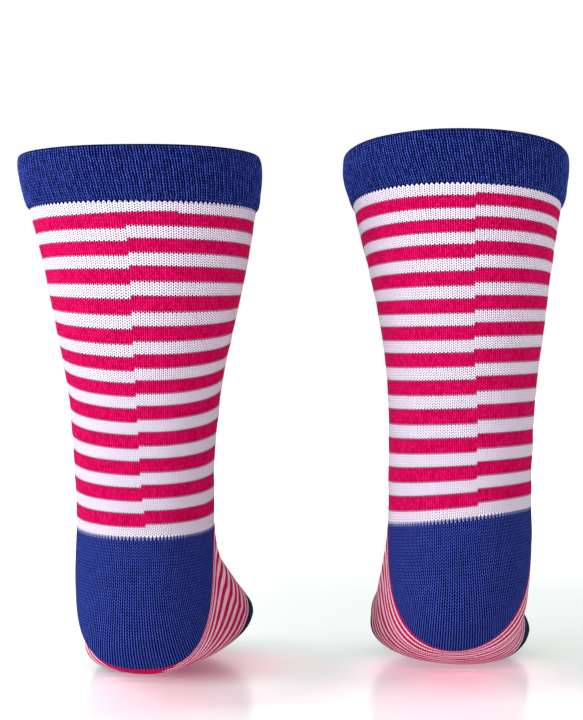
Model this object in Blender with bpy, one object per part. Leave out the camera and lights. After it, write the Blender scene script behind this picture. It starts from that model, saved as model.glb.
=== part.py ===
"""A pair of knitted crew socks, filled out as on two standing feet with raised heels.

Each sock is one knitted tube in five zones: a ribbed cuff, a leg, a heel pouch turned between
two corners, a foot and a toe that closes at a seam. Every zone is a thin wall lofted through
rings. A ring has a centre, a half-width to each side, and a front and a back half that may lie
in different planes, as they do where the heel turns. Sizes here are in millimetres and become
metres in the meshes. +Z is up, the toes point to +Y, and the origin is the middle of the left
cuff's opening.
"""

import math

import bmesh
import bpy
import numpy as np

MM = 0.001

# Cloth: the cuff is a welt of two layers, and zones stop short of each other at their joins
JERSEY_WALL = 1.5
CUFF_WALL = 2.4
RIB_DEPTH = 0.45
SEAM_GAP = 0.3

# Knitting: stripes are counted down the leg, and stripe pairs along the foot from the heel
CUFF_RIBS = 144
LEG_STRIPES = 25
STRIPE = 6.5
FOOT_PAIRS = 10
INSTEP_PAIR = 8.55

# Wall resolution: steps along half a ring, and rows of each zone
HALF_STEPS = 18
CUFF_INSIDE_HALF_STEPS = 24
LEG_ROWS = 8
HEEL_ROWS = 6
FOOT_ROWS = 9
TOE_ROWS = 8
CURVE_SAMPLES = 181

# A heel wall stops this short of the two corners, where it would narrow to nothing
HEEL_CORNER = 1.6

LEG_COLUMNS = ("stripe", "z", "x", "y", "half_width", "half_depth", "tilt", "roll")
FOOT_COLUMNS = (
    "pair", "x", "side_y", "side_z", "half_width", "roll",
    "instep_y", "instep_z", "sole_x", "sole_y", "sole_z", "side_power", "depth_power",
)
HEEL_COLUMNS = ("turn", "back_x", "back_y", "back_z", "side_power", "depth_power")
CUFF_COLUMNS = ("height", "z", "x", "y", "half_width", "half_depth", "tilt", "roll")

# Sections are superellipses, and this power is a little fuller than an ellipse
ROUND_POWER = 2.15
SHARP_ANGLE = math.radians(50)
RIGHT_HEEL_FROM_LEFT = (166.1, 15.0, 0.0)

# Tables are in millimetres and degrees, in each sock's own frame: y from the back of the heel,
# z from the floor. A row is a ring, and the rows between two rings follow a smooth curve.
LEFT = {
    "cuff": (
        (0.00, 258.8, -0.4, 40.0, 59.9, 56.6, -1.1, 0.0),
        (0.85, 282.2, -1.9, 38.3, 62.6, 59.6, -0.5, 0.4),
        (1.00, 286.3, -2.2, 38.0, 62.2, 59.2, -0.4, 0.4),
    ),
    "leg": (
        (0, 258.5, -0.4, 40.0, 58.7, 55.5, -1.1, 0.0),
        (5, 227.2, 0.6, 42.0, 52.3, 50.0, 0.7, -0.4),
        (10, 196.5, 0.2, 43.5, 45.8, 45.0, 8.9, -0.8),
        (15, 166.2, -0.1, 45.0, 40.0, 41.0, 13.0, -1.0),
        (20, 130.1, -0.5, 46.5, 36.7, 40.0, 9.0, -1.0),
        (25, 95.2, 0.0, 48.0, 35.8, 44.0, 4.6, -0.6),
    ),
    "heel": (
        (0.00, 0.0, 4.1, 91.7, 2.15, 2.15),
        (0.27, 0.0, 1.2, 72.0, 2.1, 2.3),
        (0.55, 0.2, 0.0, 52.0, 2.05, 2.6),
        (0.78, 0.9, 3.0, 36.0, 2.2, 3.3),
        (1.00, 1.8, 11.0, 24.4, 2.6, 4.4),
    ),
    "foot": (
        (0.0, 0.0, 48.0, 95.2, 35.8, -0.6, 91.9, 98.7, 1.8, 11.0, 24.4, 2.6, 4.4),
        (1.26, 0.9, 55.0, 80.5, 35.6, 0.0, 103.0, 92.0, 1.5, 26.0, 19.4, 2.4, 4.0),
        (2.95, 1.8, 67.0, 65.0, 36.6, 1.0, 117.0, 84.0, 0.5, 48.0, 16.4, 2.3, 3.6),
        (5.26, 2.8, 89.0, 50.5, 39.6, 3.0, 136.0, 74.0, -2.0, 78.0, 11.2, 2.3, 3.0),
        (8.42, 1.6, 124.0, 35.0, 45.0, 6.0, 158.0, 62.0, -4.5, 120.0, 4.2, 2.2, 2.7),
        (11.58, 0.2, 163.0, 25.0, 48.2, 8.0, 181.0, 51.0, -5.0, 161.0, 1.0, 2.2, 2.6),
        (14.21, 0.4, 196.0, 21.5, 46.6, 8.0, 205.0, 41.5, -4.0, 195.0, 0.9, 2.3, 2.7),
        (16.42, 1.5, 221.0, 19.5, 39.6, 6.0, 226.0, 34.5, -2.0, 222.0, 2.8, 2.3, 2.5),
        (17.79, 2.5, 236.0, 18.8, 29.0, 3.0, 238.5, 28.6, 1.0, 237.0, 7.6, 2.2, 2.4),
        (18.53, 3.0, 243.5, 18.8, 18.0, 0.0, 243.9, 21.8, 3.0, 243.6, 15.6, 2.2, 2.2),
    ),
    "turn_out": 2.5,
}
RIGHT = {
    "cuff": (
        (0.00, 262.9, -1.4, 48.0, 56.4, 55.0, -8.8, -0.6),
        (0.85, 284.2, -2.2, 47.2, 59.6, 58.0, -9.4, 0.0),
        (1.00, 288.3, -2.3, 47.0, 59.3, 57.6, -9.6, 0.0),
    ),
    "leg": (
        (0, 262.6, -1.4, 48.0, 55.3, 54.0, -8.8, -0.6),
        (5, 236.1, -0.2, 47.0, 49.9, 49.5, -4.8, 0.8),
        (10, 206.4, 1.2, 46.0, 44.6, 45.5, 0.8, 1.2),
        (15, 172.3, 1.3, 45.5, 40.1, 41.5, 1.1, 2.0),
        (20, 134.9, 0.4, 46.5, 38.3, 40.5, 0.3, 3.2),
        (25, 98.8, 0.0, 49.0, 38.4, 45.0, -1.5, 7.0),
    ),
    "heel": (
        (0.00, 0.0, 4.0, 100.0, 2.15, 2.15),
        (0.27, 0.0, 1.0, 80.0, 2.1, 2.2),
        (0.52, 0.0, 0.0, 62.0, 2.05, 2.5),
        (0.77, 0.0, 4.5, 44.0, 2.0, 2.9),
        (1.00, 0.0, 18.0, 30.4, 2.0, 3.3),
    ),
    "foot": (
        (0.0, 0.0, 49.0, 98.8, 38.4, 7.0, 94.0, 97.6, 0.0, 18.0, 30.4, 2.0, 3.3),
        (1.26, -1.0, 57.0, 84.0, 38.6, 4.8, 104.0, 92.0, -0.4, 33.0, 26.0, 2.3, 4.0),
        (2.95, -2.2, 69.0, 69.5, 39.0, 2.2, 117.0, 85.0, -1.0, 53.0, 21.2, 2.4, 3.8),
        (5.26, -3.0, 91.0, 53.0, 40.2, -0.5, 136.0, 75.0, -2.5, 82.0, 14.4, 2.4, 3.4),
        (8.42, -2.6, 125.0, 36.0, 42.8, -3.5, 158.0, 62.5, -3.5, 121.0, 6.2, 2.3, 3.0),
        (11.58, -0.8, 163.0, 25.0, 46.8, -5.5, 181.0, 51.0, -4.0, 161.0, 1.0, 2.3, 2.9),
        (14.21, 2.6, 196.0, 19.6, 46.6, -5.5, 205.0, 41.5, -2.5, 195.0, 0.9, 2.3, 2.8),
        (16.42, 1.0, 221.0, 19.0, 39.8, -4.0, 226.0, 34.5, -1.5, 222.0, 2.8, 2.3, 2.6),
        (17.79, -1.2, 236.0, 18.8, 29.4, -2.5, 238.5, 28.6, -2.0, 237.0, 7.6, 2.2, 2.4),
        (18.53, -2.4, 243.5, 18.8, 18.0, 0.0, 243.9, 21.8, -2.4, 243.6, 15.6, 2.2, 2.2),
    ),
    "turn_out": 2.7,
}

COLOURS = {
    "royal_blue": (0.012, 0.075, 0.32),
    "navy": (0.008, 0.022, 0.09),
    "pink": (0.80, 0.012, 0.14),
}
YARN_ROUGHNESS = 0.9


def yarn(name):
    material = bpy.data.materials.new(name)
    material.use_nodes = True
    surface = material.node_tree.nodes["Principled BSDF"]
    surface.inputs["Base Color"].default_value = (*COLOURS[name], 1)
    surface.inputs["Roughness"].default_value = YARN_ROUGHNESS
    surface.inputs["Metallic"].default_value = 0
    return material


def row_at(table, columns, place):
    """The table's row at this place of its first column, on a smooth curve through its rows."""
    table = np.array(table, float)
    knots, values = table[:, 0], table[:, 1:]
    slopes = np.gradient(values, knots, axis=0)
    first = int(np.clip(np.searchsorted(knots, place, "right") - 1, 0, len(knots) - 2))
    span = knots[first + 1] - knots[first]
    s = (place - knots[first]) / span
    row = (
        (1 + 2 * s) * (1 - s) ** 2 * values[first]
        + s * (1 - s) ** 2 * span * slopes[first]
        + s**2 * (3 - 2 * s) * values[first + 1]
        + s**2 * (s - 1) * span * slopes[first + 1]
    )
    return dict(zip(columns[1:], row))


def tube_ring(row):
    """A ring of the cuff or leg, leant by its tilt and roll."""
    tilt, roll = math.radians(row["tilt"]), math.radians(row["roll"])
    forward = np.array((0, math.cos(tilt), math.sin(tilt))) * row["half_depth"]
    return {
        "centre": np.array((row["x"], row["y"], row["z"])),
        "side": np.array((math.cos(roll), 0, math.sin(roll))) * row["half_width"],
        "front": forward,
        "back": -forward,
        "powers": (ROUND_POWER, ROUND_POWER),
    }


def foot_ring(row):
    """A ring of the foot: its front half goes over the instep, its back half under the sole."""
    x, roll = row["x"], math.radians(row["roll"])
    centre = np.array((x, row["side_y"], row["side_z"]))
    return {
        "centre": centre,
        "side": np.array((math.cos(roll), 0, math.sin(roll))) * row["half_width"],
        "front": np.array((x, row["instep_y"], row["instep_z"])) - centre,
        "back": np.array((row["sole_x"], row["sole_y"], row["sole_z"])) - centre,
        "powers": (row["side_power"], row["depth_power"]),
    }


def heel_ring(sock, row):
    """A ring of the heel, of which only the back half is knitted: all share two corners."""
    ring = foot_ring(row_at(sock["foot"], FOOT_COLUMNS, 0))
    ring["back"] = np.array((row["back_x"], row["back_y"], row["back_z"])) - ring["centre"]
    ring["powers"] = (row["side_power"], row["depth_power"])
    return ring


def equal_steps(path, steps, trim=0.0):
    """Points at equal steps along a path, less a trim at each end."""
    lengths = np.linalg.norm(np.diff(path, axis=0), axis=1)
    along = np.concatenate(([0], np.cumsum(lengths)))
    wanted = np.linspace(trim, along[-1] - trim, steps + 1)
    return np.stack([np.interp(wanted, along, path[:, axis]) for axis in range(3)], axis=1)


def shrunk(vector, inset):
    length = np.linalg.norm(vector)
    return vector * (length - inset) / length


def half_ring(ring, half, steps, inset, trim=0.0):
    """Points from the ring's +X side round its front or back half to its -X side."""
    side_power, depth_power = ring["powers"] if half == "back" else (ROUND_POWER, ROUND_POWER)
    angle = np.linspace(0, math.pi, CURVE_SAMPLES)[:, None]
    sideways = np.sign(np.cos(angle)) * np.abs(np.cos(angle)) ** (2 / side_power)
    outward = np.abs(np.sin(angle)) ** (2 / depth_power)
    side, depth = shrunk(ring["side"], inset), shrunk(ring[half], inset)
    return equal_steps(ring["centre"] + sideways * side + outward * depth, steps, trim)


def whole_ring(ring, half_steps, inset=0.0):
    """Points all round the ring: the back half from +X to -X, then the front half back."""
    back = half_ring(ring, "back", half_steps, inset)
    front = half_ring(ring, "front", half_steps, inset)
    return np.concatenate((back[:-1], front[:0:-1]))


def ribbed(points, centre):
    """The ring with every second point raised, so that each rib is a ridge between two grooves."""
    outward = points - centre
    outward /= np.linalg.norm(outward, axis=1)[:, None]
    raised = points.copy()
    raised[::2] += RIB_DEPTH * outward[::2]
    return raised


def strip_faces(first, second):
    """Faces between two closed rings of vertex numbers, the first with as many or more points."""
    count = len(second)
    group = len(first) // count
    faces = []
    for i in range(count):
        outer = [first[(i * group + k) % len(first)] for k in range(group + 1)]
        faces.append([*outer, second[(i + 1) % count], second[i]])
    return faces


def closing_faces(ring):
    """Faces that sew a flattened ring's back half to its front half."""
    half = len(ring) // 2
    front = [ring[-k] for k in range(half + 1)]
    faces = [[ring[0], ring[1], front[1]], [ring[half - 1], ring[half], front[half - 1]]]
    faces += [[ring[k], ring[k + 1], front[k + 1], front[k]] for k in range(1, half - 1)]
    return faces


def numbered(rings, start):
    """The vertex numbers of these rings, which follow each other from this start."""
    ends = np.cumsum([start] + [len(ring) for ring in rings])
    return [list(range(a, b)) for a, b in zip(ends[:-1], ends[1:])]


def new_object(name, points, faces, material, parent):
    mesh = bpy.data.meshes.new(name)
    mesh.from_pydata((points * MM).tolist(), [], faces)
    mesh.materials.append(material)
    shape = bmesh.new()
    shape.from_mesh(mesh)
    bmesh.ops.recalc_face_normals(shape, faces=shape.faces)
    shape.to_mesh(mesh)
    shape.free()
    mesh.shade_smooth()
    mesh.set_sharp_from_angle(angle=SHARP_ANGLE)
    made = bpy.data.objects.new(name, mesh)
    made.parent = parent
    parent.users_collection[0].objects.link(made)
    return made


def tube_wall(name, outside, inside, material, parent, sewn_end=False):
    """A wall between two stacks of rings, with an open rim at each end or a sewn far end."""
    outer = numbered(outside, 0)
    inner = numbered(inside, sum(len(ring) for ring in outside))
    faces = strip_faces(outer[0], inner[0])
    for stack in (outer, inner):
        for ring, following in zip(stack[:-1], stack[1:]):
            faces += strip_faces(ring, following)
        if sewn_end:
            faces += closing_faces(stack[-1])
    if not sewn_end:
        faces += strip_faces(outer[-1], inner[-1])
    return new_object(name, np.concatenate(outside + inside), faces, material, parent)


def patch_wall(name, outside, inside, material, parent):
    """A wall between two patches, each an array of rows of points."""
    rows, columns = outside.shape[:2]
    number = np.arange(2 * rows * columns).reshape(2, rows, columns)
    faces = []
    for patch in number:
        for i in range(rows - 1):
            faces += [[*patch[i, j : j + 2], *patch[i + 1, j : j + 2][::-1]]
                      for j in range(columns - 1)]
    edge = np.concatenate((number[:, 0, :-1], number[:, :-1, -1],
                           number[:, -1, :0:-1], number[:, :0:-1, 0]), axis=1)
    faces += strip_faces(list(edge[0]), list(edge[1]))
    points = np.concatenate((outside, inside)).reshape(-1, 3)
    faces = [[int(vertex) for vertex in face] for face in faces]
    return new_object(name, points, faces, material, parent)


def make_cuff(name, sock, parent):
    outside, inside = [], []
    for row in sock["cuff"]:
        ring = tube_ring(dict(zip(CUFF_COLUMNS[1:], row[1:])))
        outside.append(ribbed(whole_ring(ring, CUFF_RIBS), ring["centre"]))
        inside.append(whole_ring(ring, CUFF_INSIDE_HALF_STEPS, CUFF_WALL))
    tube_wall(name, outside, inside, yarn("royal_blue"), parent)


def make_leg(name, sock, parent):
    gap = SEAM_GAP / 2 / STRIPE
    rings = [tube_ring(row_at(sock["leg"], LEG_COLUMNS, stripe))
             for stripe in np.linspace(0, LEG_STRIPES - gap, LEG_ROWS + 1)]
    outside = [whole_ring(ring, HALF_STEPS) for ring in rings]
    inside = [whole_ring(ring, HALF_STEPS, JERSEY_WALL) for ring in rings]
    tube_wall(name, outside, inside, yarn("pink"), parent)


def make_heel(name, sock, parent):
    """The pouch: each column of points runs from the leg's last ring down to the foot's first."""
    turns = np.linspace(0, 1, CURVE_SAMPLES)
    rings = [heel_ring(sock, row_at(sock["heel"], HEEL_COLUMNS, turn)) for turn in turns]
    patches = []
    for inset in (0, JERSEY_WALL):
        curves = [half_ring(ring, "back", HALF_STEPS, inset, HEEL_CORNER) for ring in rings]
        columns = np.stack(curves, axis=1)
        trimmed = [equal_steps(column, HEEL_ROWS, SEAM_GAP / 2) for column in columns]
        patches.append(np.stack(trimmed, axis=1))
    patch_wall(name, *patches, yarn("royal_blue"), parent)


def make_foot(name, sock, parent):
    gap = SEAM_GAP / 2 / INSTEP_PAIR
    rings = [foot_ring(row_at(sock["foot"], FOOT_COLUMNS, pair))
             for pair in np.linspace(gap, FOOT_PAIRS - gap, FOOT_ROWS + 1)]
    outside = [whole_ring(ring, HALF_STEPS) for ring in rings]
    inside = [whole_ring(ring, HALF_STEPS, JERSEY_WALL) for ring in rings]
    tube_wall(name, outside, inside, yarn("pink"), parent)


def make_toe(name, sock, parent):
    """The toe ends as a flattened ring, sewn shut across the tip."""
    first = FOOT_PAIRS + SEAM_GAP / 2 / INSTEP_PAIR
    tip = sock["foot"][-1][0]
    stacks = []
    for inset in (0, JERSEY_WALL):
        pairs = np.linspace(first, tip - inset / INSTEP_PAIR, TOE_ROWS + 1)
        rings = [foot_ring(row_at(sock["foot"], FOOT_COLUMNS, pair)) for pair in pairs]
        stacks.append([whole_ring(ring, HALF_STEPS, inset) for ring in rings])
    tube_wall(name, *stacks, yarn("navy"), parent, sewn_end=True)


def make_sock(name, sock, collection, place):
    """One sock, each zone its own object, under an empty behind its heel on the floor."""
    stand = bpy.data.objects.new(f"{name}_sock", None)
    collection.objects.link(stand)
    stand.location = place
    stand.rotation_euler.z = -math.radians(sock["turn_out"])
    make_cuff(f"{name}_cuff", sock, stand)
    make_leg(f"{name}_leg", sock, stand)
    make_heel(f"{name}_heel", sock, stand)
    make_foot(f"{name}_foot", sock, stand)
    make_toe(f"{name}_toe", sock, stand)


def heel_place(sock):
    """Where the left sock's heel stands, so that its cuff's opening is about the origin."""
    opening = tube_ring(dict(zip(CUFF_COLUMNS[1:], sock["cuff"][-1][1:])))["centre"]
    turn = math.radians(sock["turn_out"])
    x, y, z = opening
    return -MM * np.array((
        x * math.cos(turn) + y * math.sin(turn),
        y * math.cos(turn) - x * math.sin(turn),
        z,
    ))


def main():
    for old in list(bpy.data.objects):
        bpy.data.objects.remove(old)
    collection = bpy.data.collections.new("pair_of_socks")
    bpy.context.scene.collection.children.link(collection)
    left_place = heel_place(LEFT)
    make_sock("left", LEFT, collection, left_place)
    make_sock("right", RIGHT, collection, left_place + MM * np.array(RIGHT_HEEL_FROM_LEFT))


main()
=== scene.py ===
import math

import bpy
import numpy as np
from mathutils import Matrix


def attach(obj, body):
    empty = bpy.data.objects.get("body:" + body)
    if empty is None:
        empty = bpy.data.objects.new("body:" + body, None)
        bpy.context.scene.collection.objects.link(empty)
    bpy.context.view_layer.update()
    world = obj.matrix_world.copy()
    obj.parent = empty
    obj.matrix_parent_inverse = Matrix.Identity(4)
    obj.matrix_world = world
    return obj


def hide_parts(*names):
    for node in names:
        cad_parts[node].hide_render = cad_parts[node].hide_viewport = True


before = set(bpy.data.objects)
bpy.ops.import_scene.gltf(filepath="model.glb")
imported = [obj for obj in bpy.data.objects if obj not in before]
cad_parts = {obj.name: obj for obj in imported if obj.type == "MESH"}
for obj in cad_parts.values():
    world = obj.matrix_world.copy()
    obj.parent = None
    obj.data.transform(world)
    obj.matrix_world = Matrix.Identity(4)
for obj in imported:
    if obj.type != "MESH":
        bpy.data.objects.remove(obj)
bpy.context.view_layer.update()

MM = 0.001

# Cloth, in millimetres: every zone is a shell on the form of its solid
JERSEY_WALL = 1.5
CUFF_WALL = 2.4
RIB_DEPTH = 0.55
STRIPE = 6.5
INSTEP_PAIR = 8.55
FOOT_PAIRS = 10
LEG_STRIPES = 25

# Knitting: wales run down the sock, courses run round it
WALES = 144
HALF_WALES = 72
BACK_STRETCH = 0.09
STRIPE_COURSES = 5
PAIR_COURSES = 10
LEG_COURSES = 125
FOOT_COURSES = FOOT_PAIRS * PAIR_COURSES
WHITE_SHARE = 6 / 13
STRIPES_A_PAIR = LEG_STRIPES / (12 + WHITE_SHARE)
CUFF_COURSE = 1.4

# In courses: how far each loop's legs lean, how high the stripes step at the back, how many more
# lie under the sole than over the instep, and how far the stripes' turn beside the foot is eased
STITCH_LIFT = 0.7
HEEL_LIFT = 1.0
JOG = 1.15
CROWDING = 20.0
SOFT_TURN = 3.6

# The wales over which a wider first pink band starts and narrows again, under the heel
BAND_STARTS = (29.0, 33.0)
BAND_NARROWS = (50.0, 71.0)

# The relief of loops and nap, in metres, and the course where the toe is sewn shut
RELIEF = 0.0005
SEWN_COURSE = 320

# Mesh fineness
CUFF_STEPS_A_WALE = 6
LEG_STEPS_A_WALE = 2
CUFF_ROWS = 32
HEEL_ROWS = 90
TOE_ROWS = 56
INSIDE_ROWS = 20
RIM_ROWS = 5
CURVE_SAMPLES = 1441
HEEL_TURNS = 181
HEEL_TRIM = 0.25
SHARP_ANGLE = math.radians(50)

LEG_COLUMNS = ("stripe", "z", "x", "y", "half_width", "half_depth", "tilt", "roll")
FOOT_COLUMNS = (
    "pair", "x", "side_y", "side_z", "half_width", "roll",
    "instep_y", "instep_z", "sole_x", "sole_y", "sole_z", "side_power", "depth_power",
)
HEEL_COLUMNS = ("turn", "back_x", "back_y", "back_z", "side_power", "depth_power")
CUFF_COLUMNS = ("height", "z", "x", "y", "half_width", "half_depth", "tilt", "roll")
ROUND_POWER = 2.15

# Soft creases across the front of the ankle: how far down the zone each lies, its reach round the
# sock as a share of a turn, its width and depth, and how far it bends
FRONT = 0.75
LEG_CREASES = (
    (148.0, 0.17, 3.6, 0.9, 5.0),
    (139.0, 0.13, 3.0, 0.6, -3.0),
    (128.5, 0.10, 3.2, 0.35, 4.0),
)
FOOT_CREASES = (
    (9.0, 0.16, 3.4, 0.8, -4.0),
    (18.5, 0.12, 3.2, 0.5, 3.0),
    (29.0, 0.09, 3.4, 0.3, -3.0),
)
RIGHT_HEEL_FROM_LEFT = (166.1, 15.0, 0.0)

# Tables are in millimetres and degrees, in each sock's own frame: y from the back of the heel,
# z from the floor. A row is a ring, and the rows between two rings follow a smooth curve.
LEFT = {
    "name": "left",
    "cuff": (
        (0.00, 258.8, -0.4, 40.0, 59.9, 56.6, -1.1, 0.0),
        (0.85, 282.2, -1.9, 38.3, 62.6, 59.6, -0.5, 0.4),
        (1.00, 286.3, -2.2, 38.0, 62.2, 59.2, -0.4, 0.4),
    ),
    "leg": (
        (0, 258.5, -0.4, 40.0, 58.7, 55.5, -1.1, 0.0),
        (5, 227.2, 0.6, 42.0, 52.3, 50.0, 0.7, -0.4),
        (10, 196.5, 0.2, 43.5, 45.8, 45.0, 8.9, -0.8),
        (15, 166.2, -0.1, 45.0, 40.0, 41.0, 13.0, -1.0),
        (20, 130.1, -0.5, 46.5, 36.7, 40.0, 9.0, -1.0),
        (25, 95.2, 0.0, 48.0, 35.8, 44.0, 4.6, -0.6),
    ),
    "heel": (
        (0.00, 0.0, 4.1, 91.7, 2.15, 2.15),
        (0.27, 0.0, 1.2, 72.0, 2.1, 2.3),
        (0.55, 0.2, 0.0, 52.0, 2.05, 2.6),
        (0.78, 0.9, 3.0, 36.0, 2.2, 3.3),
        (1.00, 1.8, 11.0, 24.4, 2.6, 4.4),
    ),
    "foot": (
        (0.0, 0.0, 48.0, 95.2, 35.8, -0.6, 91.9, 98.7, 1.8, 11.0, 24.4, 2.6, 4.4),
        (1.26, 0.9, 55.0, 80.5, 35.6, 0.0, 103.0, 92.0, 1.5, 26.0, 19.4, 2.4, 4.0),
        (2.95, 1.8, 67.0, 65.0, 36.6, 1.0, 117.0, 84.0, 0.5, 48.0, 16.4, 2.3, 3.6),
        (5.26, 2.8, 89.0, 50.5, 39.6, 3.0, 136.0, 74.0, -2.0, 78.0, 11.2, 2.3, 3.0),
        (8.42, 1.6, 124.0, 35.0, 45.0, 6.0, 158.0, 62.0, -4.5, 120.0, 4.2, 2.2, 2.7),
        (11.58, 0.2, 163.0, 25.0, 48.2, 8.0, 181.0, 51.0, -5.0, 161.0, 1.0, 2.2, 2.6),
        (14.21, 0.4, 196.0, 21.5, 46.6, 8.0, 205.0, 41.5, -4.0, 195.0, 0.9, 2.3, 2.7),
        (16.42, 1.5, 221.0, 19.5, 39.6, 6.0, 226.0, 34.5, -2.0, 222.0, 2.8, 2.3, 2.5),
        (17.79, 2.5, 236.0, 18.8, 29.0, 3.0, 238.5, 28.6, 1.0, 237.0, 7.6, 2.2, 2.4),
        (18.53, 3.0, 243.5, 18.8, 18.0, 0.0, 243.9, 21.8, 3.0, 243.6, 15.6, 2.2, 2.2),
    ),
    "turn_out": 2.5,
    "jog_wale": 33.0,
    "first_jog_wale": 23.0,
    "drift": ((0.0, 4.2), (0.35, 3.6), (0.6, 2.75), (0.83, 1.5), (1.0, 0.0)),
    "rib_lean": 1.1,
    "heel_course": 1.56,
    "more_pink": 14.0,
    "seed": 11,
}
RIGHT = {
    "name": "right",
    "cuff": (
        (0.00, 262.9, -1.4, 48.0, 56.4, 55.0, -8.8, -0.6),
        (0.85, 284.2, -2.2, 47.2, 59.6, 58.0, -9.4, 0.0),
        (1.00, 288.3, -2.3, 47.0, 59.3, 57.6, -9.6, 0.0),
    ),
    "leg": (
        (0, 262.6, -1.4, 48.0, 55.3, 54.0, -8.8, -0.6),
        (5, 236.1, -0.2, 47.0, 49.9, 49.5, -4.8, 0.8),
        (10, 206.4, 1.2, 46.0, 44.6, 45.5, 0.8, 1.2),
        (15, 172.3, 1.3, 45.5, 40.1, 41.5, 1.1, 2.0),
        (20, 134.9, 0.4, 46.5, 38.3, 40.5, 0.3, 3.2),
        (25, 98.8, 0.0, 49.0, 38.4, 45.0, -1.5, 7.0),
    ),
    "heel": (
        (0.00, 0.0, 4.0, 100.0, 2.15, 2.15),
        (0.27, 0.0, 1.0, 80.0, 2.1, 2.2),
        (0.52, 0.0, 0.0, 62.0, 2.05, 2.5),
        (0.77, 0.0, 4.5, 44.0, 2.0, 2.9),
        (1.00, 0.0, 18.0, 30.4, 2.0, 3.3),
    ),
    "foot": (
        (0.0, 0.0, 49.0, 98.8, 38.4, 7.0, 94.0, 97.6, 0.0, 18.0, 30.4, 2.0, 3.3),
        (1.26, -1.0, 57.0, 84.0, 38.6, 4.8, 104.0, 92.0, -0.4, 33.0, 26.0, 2.3, 4.0),
        (2.95, -2.2, 69.0, 69.5, 39.0, 2.2, 117.0, 85.0, -1.0, 53.0, 21.2, 2.4, 3.8),
        (5.26, -3.0, 91.0, 53.0, 40.2, -0.5, 136.0, 75.0, -2.5, 82.0, 14.4, 2.4, 3.4),
        (8.42, -2.6, 125.0, 36.0, 42.8, -3.5, 158.0, 62.5, -3.5, 121.0, 6.2, 2.3, 3.0),
        (11.58, -0.8, 163.0, 25.0, 46.8, -5.5, 181.0, 51.0, -4.0, 161.0, 1.0, 2.3, 2.9),
        (14.21, 2.6, 196.0, 19.6, 46.6, -5.5, 205.0, 41.5, -2.5, 195.0, 0.9, 2.3, 2.8),
        (16.42, 1.0, 221.0, 19.0, 39.8, -4.0, 226.0, 34.5, -1.5, 222.0, 2.8, 2.3, 2.6),
        (17.79, -1.2, 236.0, 18.8, 29.4, -2.5, 238.5, 28.6, -2.0, 237.0, 7.6, 2.2, 2.4),
        (18.53, -2.4, 243.5, 18.8, 18.0, 0.0, 243.9, 21.8, -2.4, 243.6, 15.6, 2.2, 2.2),
    ),
    "turn_out": 2.7,
    "jog_wale": 32.0,
    "first_jog_wale": 32.0,
    "drift": ((0.0, 1.2), (0.35, 1.9), (0.52, 2.1), (0.72, 0.5), (0.9, 0.4), (1.0, 0.0)),
    "rib_lean": 1.6,
    "heel_course": 1.68,
    "more_pink": 0.0,
    "seed": 23,
}

# Yarn colours: the dark stop is painted shade deep between the loops, and the light stop a
# painted highlight along the middle of a strand
WHITE = {"dark": (0.05, 0.05, 0.08), "mid": (0.50, 0.41, 0.51), "light": (0.89, 0.77, 0.90)}
PALE = {"dark": (0.30, 0.03, 0.10), "mid": (0.92, 0.44, 0.62), "light": (1.0, 0.74, 0.87)}
BLUSH = {"dark": (0.16, 0.01, 0.04), "mid": (0.66, 0.22, 0.34), "light": (0.95, 0.56, 0.70)}
PINK = {"dark": (0.20, 0.0, 0.014), "mid": (0.58, 0.001, 0.060), "light": (0.86, 0.008, 0.22)}
BLUE = {"dark": (0.001, 0.002, 0.020), "mid": (0.005, 0.012, 0.105), "light": (0.060, 0.095, 0.52)}
NAVY = {"dark": (0.001, 0.002, 0.012), "mid": (0.004, 0.014, 0.055), "light": (0.02, 0.06, 0.22)}
# Painted shade in the holes along a stripe's edges
HOLE_SHADE_MAROON = (0.020, 0.0, 0.006)

# Where in each pair of stripes the pink lies: its middle and half width, in courses, how many
# courses the first one reaches behind, the other yarn's colours, and how deep its edges' painted shade
# is
LEG_PAIR = {"middle": 7.45, "half": 2.30, "first": 0.0, "other": WHITE, "gaps": 1.0}
FOOT_PAIR = {"middle": 2.60, "half": 2.6, "first": 6.0, "other": PALE, "gaps": 0.5}


# ---- Rings -------------------------------------------------------------------------------------

def rows_at(table, columns, places):
    """The table's rows at these places of its first column, on smooth curves through its rows."""
    table = np.array(table, float)
    knots, values = table[:, 0], table[:, 1:]
    slopes = np.gradient(values, knots, axis=0)
    first = np.clip(np.searchsorted(knots, places, "right") - 1, 0, len(knots) - 2)
    span = (knots[first + 1] - knots[first])[:, None]
    s = (np.asarray(places)[:, None] - knots[first][:, None]) / span
    rows = (
        (1 + 2 * s) * (1 - s) ** 2 * values[first]
        + s * (1 - s) ** 2 * span * slopes[first]
        + s**2 * (3 - 2 * s) * values[first + 1]
        + s**2 * (s - 1) * span * slopes[first + 1]
    )
    return dict(zip(columns[1:], rows.T))


def vectors(x, y, z):
    return np.stack(np.broadcast_arrays(x, y, z), axis=1)


def tube_rings(rows):
    """Rings of the cuff or leg, leant by their tilt and roll."""
    tilt, roll = np.radians(rows["tilt"]), np.radians(rows["roll"])
    forward = vectors(0 * tilt, np.cos(tilt), np.sin(tilt)) * rows["half_depth"][:, None]
    power = np.full(len(tilt), ROUND_POWER)
    return {
        "centre": vectors(rows["x"], rows["y"], rows["z"]),
        "side": vectors(np.cos(roll), 0 * roll, np.sin(roll)) * rows["half_width"][:, None],
        "front": forward,
        "back": -forward,
        "powers": (power, power),
    }


def foot_rings(rows):
    """Rings of the foot: the front half goes over the instep, the back half under the sole."""
    x, roll = rows["x"], np.radians(rows["roll"])
    centre = vectors(x, rows["side_y"], rows["side_z"])
    return {
        "centre": centre,
        "side": vectors(np.cos(roll), 0 * roll, np.sin(roll)) * rows["half_width"][:, None],
        "front": vectors(x, rows["instep_y"], rows["instep_z"]) - centre,
        "back": vectors(rows["sole_x"], rows["sole_y"], rows["sole_z"]) - centre,
        "powers": (rows["side_power"], rows["depth_power"]),
    }


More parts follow.
